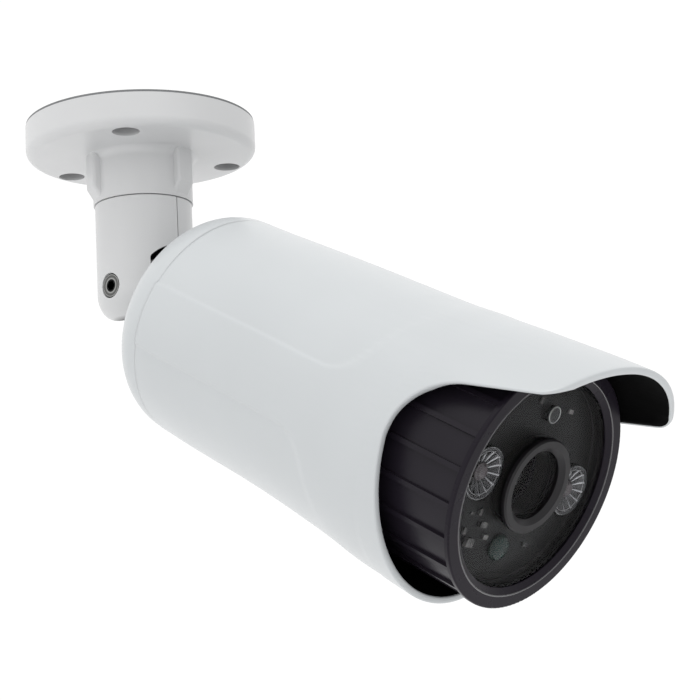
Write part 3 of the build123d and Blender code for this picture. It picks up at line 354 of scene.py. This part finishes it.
def socket_screw(name):
    """Bright screw head with painted shade in its socket, across its middle and round its edge, and painted
    highlight rings at the socket's rim and near the edge.
    """
    made = Surface(name)
    gap = made.flat_distance((0, 1, 1), (0, TILT_POINT.y, TILT_POINT.z))
    share = made.maths("DIVIDE", gap, SCREW_RAMP)
    # Painted light: the dark colour is painted shade in the socket and round the edge; the lighter and darker
    # copies of the bright metal are painted highlight and shade
    dark = (0.010, 0.010, 0.010)
    bright = (0.40, 0.40, 0.39)
    stops = ((0.42, dark), (0.47, bright), (0.56, shade(bright, 0.35)), (0.68, shade(bright, 0.25)),
             (0.74, shade(bright, 0.9)), (0.79, dark))
    made.link(made.ramp(share, stops), made.shader.inputs["Base Color"])
    made.roughness(made.noise(700.0, 4.0), 0.16, 0.30)
    made.bump(made.noise(600.0), 0.000004)
    made.set(Metallic=1.0)
    return made.mat


SOCKET_SCREW = socket_screw("bright_socket_screw")

# The distance from the pan axis at which the bore's painted shade ramp ends
BORE_RAMP = 20 * MM


def bore_shaded_paint(name, base):
    """Bracket paint with painted shade, near black, inside the arm's bore."""
    made = Surface(name)
    share = made.maths("DIVIDE", made.flat_distance((1, 1, 0), (0, 0, 0)), BORE_RAMP)
    # Painted shade: near black close to the pan axis, the bracket's colour further out
    stops = ((0.50, (0.004, 0.004, 0.004)), (0.62, base))
    made.link(made.ramp(share, stops), made.shader.inputs["Base Color"])
    bracket_coat(made)
    return made.mat


ARM_BORE_SHADE_PAINT = bore_shaded_paint("arm_paint_with_bore_shade", BRACKET_WHITE)

finishes = {
    "gasket_grey": GASKET_FOAM,
    "white_paint": WHITE_BRACKET,
    "white_shell": WHITE_SHELL,
    "black_satin": BLACK_SATIN,
    "black_plastic": BLACK_PLASTIC,
    "black_rubber": BLACK_RUBBER,
    "steel": STEEL,
    "chrome": CHROME,
    "brass": BRASS,
    "aluminium": SHEET,
    "black_board": BLACK_BOARD,
    "green_board": GREEN_BOARD,
    "board_parts": CHIP_PLASTIC,
    "reflector": REFLECTOR,
    "led_lens": EMITTER,
    "sensor_lens": SENSOR_RESIN,
    "clear_glass": WINDOW_GLASS,
    "coated_glass": LENS_GLASS,
    "filter_glass": FILTER_GLASS,
    "copper": WINDING,
}

by_node = {
    "neck": BLACK_INSIDE,
    "tilt_washers": BLACK_INSIDE,
    "roll_seal": BLACK_INSIDE,
    "base_plate": BRACKET_RECESS_SHADE_PAINT,
    "arm_half_left": ARM_BORE_SHADE_PAINT,
    "arm_half_right": ARM_BORE_SHADE_PAINT,
    "tilt_bolt": SOCKET_SCREW,
    "bezel": BLACK_BEZEL,
    "photocell": PHOTOCELL,
    "led_board_parts": SOLDERED,
}

for part in frame["record"]["subparts"]:
    node_object = nodes[part["node"]]
    finish = by_node.get(part["node"], finishes[part["material_slot"]])
    node_object.data.materials.clear()
    node_object.data.materials.append(finish)


# ---------------------------------------------------------------------------------------------
# Mesh kit
# ---------------------------------------------------------------------------------------------
def mesh_piece(name, vertices, faces, materials, body, replaced=(), face_slots=None):
    """A smooth-shaded mesh object that rides on a body."""
    mesh = bpy.data.meshes.new(name)
    mesh.from_pydata([tuple(v) for v in vertices], [], faces)
    mesh.validate()
    for material in materials:
        mesh.materials.append(material)
    for polygon in mesh.polygons:
        polygon.use_smooth = True
        if face_slots:
            polygon.material_index = face_slots[polygon.index]
    piece = bpy.data.objects.new(name, mesh)
    bpy.context.scene.collection.objects.link(piece)
    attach(piece, body)
    if replaced:
        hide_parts(*replaced)


def grid_faces(rows, columns):
    """Quads over a grid that closes on itself across its columns."""
    faces = []
    for row in range(rows - 1):
        for column in range(columns):
            following = (column + 1) % columns
            faces.append((row * columns + column, row * columns + following,
                          (row + 1) * columns + following, (row + 1) * columns + column))
    return faces


RING_STEPS = 160
TUBE_CORNERS = 12


def ring_piece(name, radius, centre, middle_s, tube, material):
    """A thin round ring that faces forward and rides on the camera body."""
    vertices = []
    for step in range(RING_STEPS):
        turn = 2 * pi * step / RING_STEPS
        for corner in range(TUBE_CORNERS):
            lean = 2 * pi * corner / TUBE_CORNERS
            reach = radius + tube * cos(lean)
            vertices.append(at(centre[0] + reach * cos(turn), centre[1] + reach * sin(turn),
                               middle_s + tube * sin(lean)))
    # The last ring of faces closes on the first
    faces = [tuple(index % len(vertices) for index in face)
             for face in grid_faces(RING_STEPS + 1, TUBE_CORNERS)]
    mesh_piece(name, vertices, faces, [material], "camera")


# ---------------------------------------------------------------------------------------------
# White shell with its visor: the CAD skin, resampled with soft relief and a rounded rim
# ---------------------------------------------------------------------------------------------
RIM_ROUND = 0.55 * MM
ROW_STEP = 1.0 * MM
FRONT_ROWS = 40
INNER_ROWS = 60
COARSE_TURN = radians(1.6)
FINE_TURN = radians(0.5)
VISOR_SIDES = (radians(18), radians(162))
FINE_REACH = radians(44)
REACH = 80 * MM
EDGE_HALVINGS = 16
REAR_CLOSING = 0.08 * MM
WALL = 2.1 * MM
# The even rows stop this far behind the rim's rearmost place
RIM_MARGIN = 4 * MM
# Rounds of smoothing: round and along the barrel, and where the relief fades out
RELIEF_ROUNDS = 2
FADED_ROUNDS = 40
# The relief fades out over this much height above or below the long axis
FADE_FROM = 17 * MM
FADE_OVER = 14 * MM
# Share of the front rows that eases from the softened skin to the exact one
EASE_SHARE = 0.25
RIM_SWINGS = (30, 60, 90, 120, 150)
RIM_FULLNESS = 0.7
# How far behind the rim the wall is measured
RIM_PROBE = 0.2 * MM
FLANGE_DEPTH = 9.2 * MM


def skin_radius(shell_mesh, s, turn, outward):
    """Distance of the shell's skin from the long axis; outward is True for the inner skin."""
    axis_point = at(0, 0, s)
    ray = RIGHT * cos(turn) + TOP * sin(turn)
    start = axis_point if outward else axis_point + ray * REACH
    hit, place, _, _ = shell_mesh.ray_cast(start, ray if outward else -ray, distance=REACH)
    return (place - axis_point).length if hit else None


def shell_turns():
    """Angles round the barrel, closer together where the visor's side edges are."""
    turns = []
    turn = -pi / 2
    while turn < 3 * pi / 2 - 1e-6:
        turns.append(turn)
        nearest = min(abs(turn - side) for side in VISOR_SIDES)
        turn += FINE_TURN if nearest < FINE_REACH else COARSE_TURN
    return turns


def softened(values, times, closed):
    """A list smoothed by repeated averaging with its neighbours."""
    count = len(values)
    for _ in range(times):
        fresh = list(values)
        for index in range(count):
            if closed:
                before, after = values[index - 1], values[(index + 1) % count]
            else:
                before, after = values[max(index - 1, 0)], values[min(index + 1, count - 1)]
            fresh[index] = (before + 2 * values[index] + after) / 4
        values = fresh
    return values


def edge_place(shell_mesh, turn, behind, ahead):
    """How far forward the skin reaches at one angle, by halving the gap."""
    for _ in range(EDGE_HALVINGS):
        middle = (behind + ahead) / 2
        if skin_radius(shell_mesh, middle, turn, False) is None:
            ahead = middle
        else:
            behind = middle
    return behind


def build_shell():
    """The white outer skin, the rounded rim and the dark inner skin back to the flange."""
    shell_mesh = nodes["shell"]
    turns = shell_turns()
    columns = len(turns)
    rear_s, tip_s = span_along("shell", FORWARD)
    edges = [edge_place(shell_mesh, turn, (rear_s + tip_s) / 2, tip_s + MM) for turn in turns]
    edges = softened(edges, 1, True)
    rim_s = min(edges)

    # Even rows up to just behind the rim, softened across the relief's steps
    count = int((rim_s - RIM_MARGIN - rear_s) / ROW_STEP)
    even_rows = [rear_s + ROW_STEP * row for row in range(count)]
    field = [[skin_radius(shell_mesh, s + REAR_CLOSING, turn, False) for turn in turns]
             for s in even_rows]
    field = [softened(row, RELIEF_ROUNDS, True) for row in field]
    # The first row reaches back over most of the hairline gap to the rear cap
    even_rows[0] -= REAR_CLOSING
    for column, turn in enumerate(turns):
        line = [row[column] for row in field]
        sharp = softened(line, RELIEF_ROUNDS, False)
        faded = softened(line, FADED_ROUNDS, False)
        height = abs(sin(turn)) * radius_of("bezel")
        fade = min(max((height - FADE_FROM) / FADE_OVER, 0.0), 1.0)
        for index, row in enumerate(field):
            row[column] = sharp[index] * (1 - fade) + faded[index] * fade

    # The edge's own direction in the unrolled skin, for an even rounding all along it
    mean_radius = field[-1][0]
    pulled = []
    for column in range(columns):
        before, after = column - 1, (column + 1) % columns
        along_turn = ((turns[after] - turns[before]) % (2 * pi)) * mean_radius
        along_s = edges[after] - edges[before]
        length = sqrt(along_turn ** 2 + along_s ** 2)
        pulled.append((edges[column] - RIM_ROUND * along_turn / length,
                       turns[column] + RIM_ROUND * along_s / length / mean_radius))

    vertices = []
    rows = 0

    def add_row(points):
        nonlocal rows
        vertices.extend(at(r * cos(turn), r * sin(turn), s) for r, turn, s in points)
        rows += 1

    for index, s in enumerate(even_rows):
        add_row([(field[index][c], turns[c], s) for c in range(columns)])
    last_s = even_rows[-1]
    outer_edge = [(field[-1][c], turns[c], last_s) for c in range(columns)]
    for step in range(1, FRONT_ROWS + 1):
        share = step / FRONT_ROWS
        points = []
        for column in range(columns):
            edge_s, edge_turn = pulled[column]
            s = last_s + (edge_s - last_s) * share
            turn = turns[column] + (edge_turn - turns[column]) * share
            radius = skin_radius(shell_mesh, s, turn, False) or outer_edge[column][0]
            soft_radius = field[-1][column]
            eased = soft_radius + (radius - soft_radius) * share
            blend = min(1.0, share / EASE_SHARE)
            points.append((radius * blend + eased * (1 - blend), turn, s))
        add_row(points)
        outer_edge = points

    # Rounded rim, then the dark inner skin back to the mounting flange
    inner_edge = []
    for outer_radius, turn, s in outer_edge:
        inner = skin_radius(shell_mesh, s - RIM_PROBE, turn, True)
        inner_edge.append(inner or outer_radius - WALL)
    for angle in RIM_SWINGS:
        swing = radians(angle)
        points = []
        for column, (outer_radius, turn, s) in enumerate(outer_edge):
            middle = (outer_radius + inner_edge[column]) / 2
            half = (outer_radius - inner_edge[column]) / 2
            reach = sin(swing) ** RIM_FULLNESS
            side = abs(cos(swing)) ** RIM_FULLNESS * (1 if cos(swing) > 0 else -1)
            edge_turn = turn + (turns[column] - turn) * reach
            points.append((middle + half * side, edge_turn, s + (edges[column] - s) * reach))
        add_row(points)
    rim_rows = rows
    add_row([(inner_edge[c], outer_edge[c][1], outer_edge[c][2]) for c in range(columns)])
    flange_s = rear_s + FLANGE_DEPTH
    for step in range(1, INNER_ROWS + 1):
        share = step / INNER_ROWS
        points = []
        for column in range(columns):
            _, edge_turn, edge_s = outer_edge[column]
            s = edge_s + (flange_s - edge_s) * share
            turn = edge_turn + (turns[column] - edge_turn) * share
            radius = skin_radius(shell_mesh, s, turn, True) or inner_edge[column]
            points.append((radius, turn, s))
        add_row(points)
    faces = grid_faces(rows, columns)
    # Rear end: from the outer skin's first row inwards
    inner_ring = len(vertices)
    vertices.extend(at((field[0][c] - WALL) * cos(turns[c]),
                       (field[0][c] - WALL) * sin(turns[c]), even_rows[0]) for c in range(columns))
    for column in range(columns):
        following = (column + 1) % columns
        faces.append((column, inner_ring + column, inner_ring + following, following))
    face_slots = []
    for index in range(len(faces)):
        row = index // columns
        inner = rim_rows <= row < rows - 1
        face_slots.append(1 if inner else 0)
    mesh_piece("shell_skin", vertices, faces, [WHITE_SHELL, BLACK_INSIDE], "camera",
               ["shell"], face_slots)


build_shell()

# ---------------------------------------------------------------------------------------------
# Infrared lamps: fluted reflector cups
# ---------------------------------------------------------------------------------------------
FLUTES = 14
FLUTE_DEPTH = 0.35 * MM
STEPS_PER_FLUTE = 6
# The rings from the emitter outwards whose flute crests carry painted highlight streaks in bright chrome
CREST_RINGS = 4
RIM_TUBE = 0.11 * MM


def build_reflectors():
    """A fluted cup round each emitter, with a bright ring at its mouth and one inside it."""
    back_s, front_s = span_along("led_reflectors", FORWARD)
    right_end = span_along("led_reflectors", RIGHT)[1]
    low, high = span_along("led_reflectors", TOP)
    outer_r = (high - low) / 2
    centre = right_end - outer_r
    height = front_s - back_s
    # Rings from the emitter outwards: radius share, height share, depth of the fluting
    rings = (
        (0.36, 0.10, 0.0),
        (0.42, 0.18, 0.5),
        (0.60, 0.42, 1.0),
        (0.78, 0.75, 1.0),
        (0.84, 0.94, 0.3),
        (0.88, 1.00, 0.0),
        (0.96, 1.00, 0.0),
        (1.00, 0.90, 0.0),
        (1.00, 0.00, 0.0),
    )
    per_turn = FLUTES * STEPS_PER_FLUTE
    for name, side in (("reflector_left", -1), ("reflector_right", 1)):
        vertices = []
        for radius_share, height_share, fluting in rings:
            for step in range(per_turn):
                turn = 2 * pi * step / per_turn
                ripple = abs(sin(turn * FLUTES / 2)) * FLUTE_DEPTH * fluting
                radius = outer_r * radius_share
                vertices.append(at(side * centre + radius * cos(turn), radius * sin(turn),
                                   back_s + height * height_share - ripple))
        faces = grid_faces(len(rings), per_turn)
        # Painted highlight: one column of faces at each flute's crest takes the bright chrome
        crest_highlight_slots = [1 if index % STEPS_PER_FLUTE == 0 and index // per_turn < CREST_RINGS else 0
                  for index in range(len(faces))]
        mesh_piece(name, vertices, faces, [REFLECTOR, CHROME], "camera",
                   ["led_reflectors"] if side < 0 else (), crest_highlight_slots)
        for rim_name, share in (("outer", 0.95), ("inner", 0.80)):
            ring_piece(f"{name}_{rim_name}_rim", outer_r * share, (side * centre, 0.0),
                       back_s + height * share, RIM_TUBE, CHROME)


build_reflectors()


# ---------------------------------------------------------------------------------------------
# Fine bright rings: the light sensor's collar and the bezel's polished inner edge
# ---------------------------------------------------------------------------------------------
COLLAR_TUBE = 0.2 * MM
COLLAR_INSET = 0.1 * MM
EDGE_TUBE = 0.28 * MM
EDGE_INSET = 0.15 * MM
# Points this close to a node's front count as lying on its front face
FRONT_SKIN = 0.05 * MM

cell_low, cell_high = span_along("photocell", TOP)
cell_front = span_along("photocell", FORWARD)[1]
ring_piece("photocell_collar", (cell_high - cell_low) / 2 - COLLAR_INSET,
           (0.0, (cell_low + cell_high) / 2), cell_front - COLLAR_INSET, COLLAR_TUBE, STEEL)


def front_edge_radius(node):
    """The radius of a ring's inner edge, where it meets its front face."""
    front = span_along(node, FORWARD)[1]
    arms = [vertex.co - TILT_POINT for vertex in nodes[node].data.vertices]
    return min((arm - FORWARD * arm.dot(FORWARD)).length
               for arm in arms if arm.dot(FORWARD) > front - FRONT_SKIN)


bezel_front = span_along("bezel", FORWARD)[1]
ring_piece("bezel_edge", front_edge_radius("bezel"), (0.0, 0.0), bezel_front - EDGE_INSET,
           EDGE_TUBE, BLACK_GLOSS)

# ---------------------------------------------------------------------------------------------
# Stage: floor, soft light and the camera
# ---------------------------------------------------------------------------------------------
FLOOR_Z = -1.0
FLOOR_HALF = 1.6


def build_floor():
    """A plain pale floor, well below the camera."""
    grid = bmesh.new()
    bmesh.ops.create_grid(grid, x_segments=8, y_segments=8, size=FLOOR_HALF)
    mesh = bpy.data.meshes.new("floor")
    grid.to_mesh(mesh)
    grid.free()
    floor = bpy.data.objects.new("floor", mesh)
    floor.location = (0, 0, FLOOR_Z)
    bpy.context.scene.collection.objects.link(floor)
    made = Surface("floor_paint")
    made.colour(made.noise(3.0), (0.91, 0.91, 0.91), (0.94, 0.94, 0.94))
    made.roughness(made.noise(8.0), 0.75, 0.85)
    mesh.materials.append(made.mat)


# Brightness of the soft white room by height, from straight down (0) to straight up (1)
SKY_STOPS = ((0.0, 1.10), (0.40, 1.02), (0.47, 1.04), (0.70, 1.04), (0.85, 1.12), (1.0, 1.20))
# The room's dimmer side: which way it lies, how wide it is, and its share of the full light
DIM_SIDE = Vector((0.72, -0.66, -0.08))
DIM_INNER = radians(30)
DIM_OUTER = radians(75)
DIM_LEVEL = 0.75


def build_sky():
    """A plain soft white room, brighter above and a little dimmer on one side."""
    world = bpy.data.worlds.new("studio")
    bpy.context.scene.world = world
    world.use_nodes = True
    tree = world.node_tree
    place = tree.nodes.new("ShaderNodeTexCoord")
    split = tree.nodes.new("ShaderNodeSeparateXYZ")
    tree.links.new(place.outputs["Generated"], split.inputs["Vector"])
    spread = tree.nodes.new("ShaderNodeMapRange")
    spread.inputs["From Min"].default_value = -1.0
    tree.links.new(split.outputs["Z"], spread.inputs["Value"])
    ramp = tree.nodes.new("ShaderNodeValToRGB")
    elements = ramp.color_ramp.elements
    while len(elements) < len(SKY_STOPS):
        elements.new(0.5)
    # A colour ramp holds no more than 1, so the room's strength scales it up
    brightest = max(level for _, level in SKY_STOPS)
    for element, (position, level) in zip(elements, SKY_STOPS):
        element.position = position
        element.color = (level / brightest, level / brightest, level / brightest, 1)
    tree.links.new(spread.outputs["Result"], ramp.inputs["Fac"])
    towards = tree.nodes.new("ShaderNodeVectorMath")
    towards.operation = "DOT_PRODUCT"
    towards.inputs[1].default_value = DIM_SIDE.normalized()
    tree.links.new(place.outputs["Generated"], towards.inputs[0])
    fade = tree.nodes.new("ShaderNodeMapRange")
    fade.interpolation_type = "SMOOTHSTEP"
    fade.inputs["From Min"].default_value = cos(DIM_OUTER)
    fade.inputs["From Max"].default_value = cos(DIM_INNER)
    fade.inputs["To Min"].default_value = brightest
    fade.inputs["To Max"].default_value = brightest * DIM_LEVEL
    tree.links.new(towards.outputs["Value"], fade.inputs["Value"])
    background = tree.nodes["Background"]
    tree.links.new(ramp.outputs["Color"], background.inputs["Color"])
    tree.links.new(fade.outputs["Result"], background.inputs["Strength"])


KEY_PLACE = Vector((-0.5, -0.3, 1.1))
KEY_AIM = at(0, 0, 0.1)
KEY_SIZE = 0.6
KEY_POWER = 2.4


def area_light(name, place, target, size, power):
    """A round soft lamp that points at its target."""
    data = bpy.data.lights.new(name, "AREA")
    data.shape = "DISK"
    data.size = size
    data.energy = power
    light = bpy.data.objects.new(name, data)
    light.location = place
    light.rotation_mode = "QUATERNION"
    light.rotation_quaternion = (target - place).to_track_quat("-Z", "Y")
    bpy.context.scene.collection.objects.link(light)


# The camera: its place, the way it looks, its lean to one side and its lens
CAMERA_PLACE = Vector((-0.37375, -0.40466, -0.17701))
CAMERA_HEADING = radians(-49.99)
CAMERA_RISE = radians(9.62)
CAMERA_LEAN = radians(-3.24)
LENS_MM = 82.83
SENSOR_MM = 36.0
SHIFT_X = -0.00164
SHIFT_Y = 0.00111


def build_camera():
    """The main view: from the front left, a little below, looking slightly up."""
    heading, rise, lean = CAMERA_HEADING, CAMERA_RISE, CAMERA_LEAN
    look = Vector((-sin(heading) * cos(rise), cos(heading) * cos(rise), sin(rise)))
    level_side = Vector((cos(heading), sin(heading), 0))
    level_up = level_side.cross(look)
    side = level_side * cos(lean) + level_up * sin(lean)
    up = level_up * cos(lean) - level_side * sin(lean)
    data = bpy.data.cameras.new("camera")
    data.lens = LENS_MM
    data.sensor_width = SENSOR_MM
    data.clip_start = 0.01
    data.clip_end = 50.0
    data.shift_x = SHIFT_X
    data.shift_y = SHIFT_Y
    camera = bpy.data.objects.new("camera", data)
    turned = Matrix((side, up, -look)).transposed().to_4x4()
    camera.matrix_world = Matrix.Translation(CAMERA_PLACE) @ turned
    bpy.context.scene.collection.objects.link(camera)
    bpy.context.scene.camera = camera


build_floor()
build_sky()
area_light("key", KEY_PLACE, KEY_AIM, KEY_SIZE, KEY_POWER)
build_camera()
bpy.context.scene.view_settings.view_transform = "Standard"
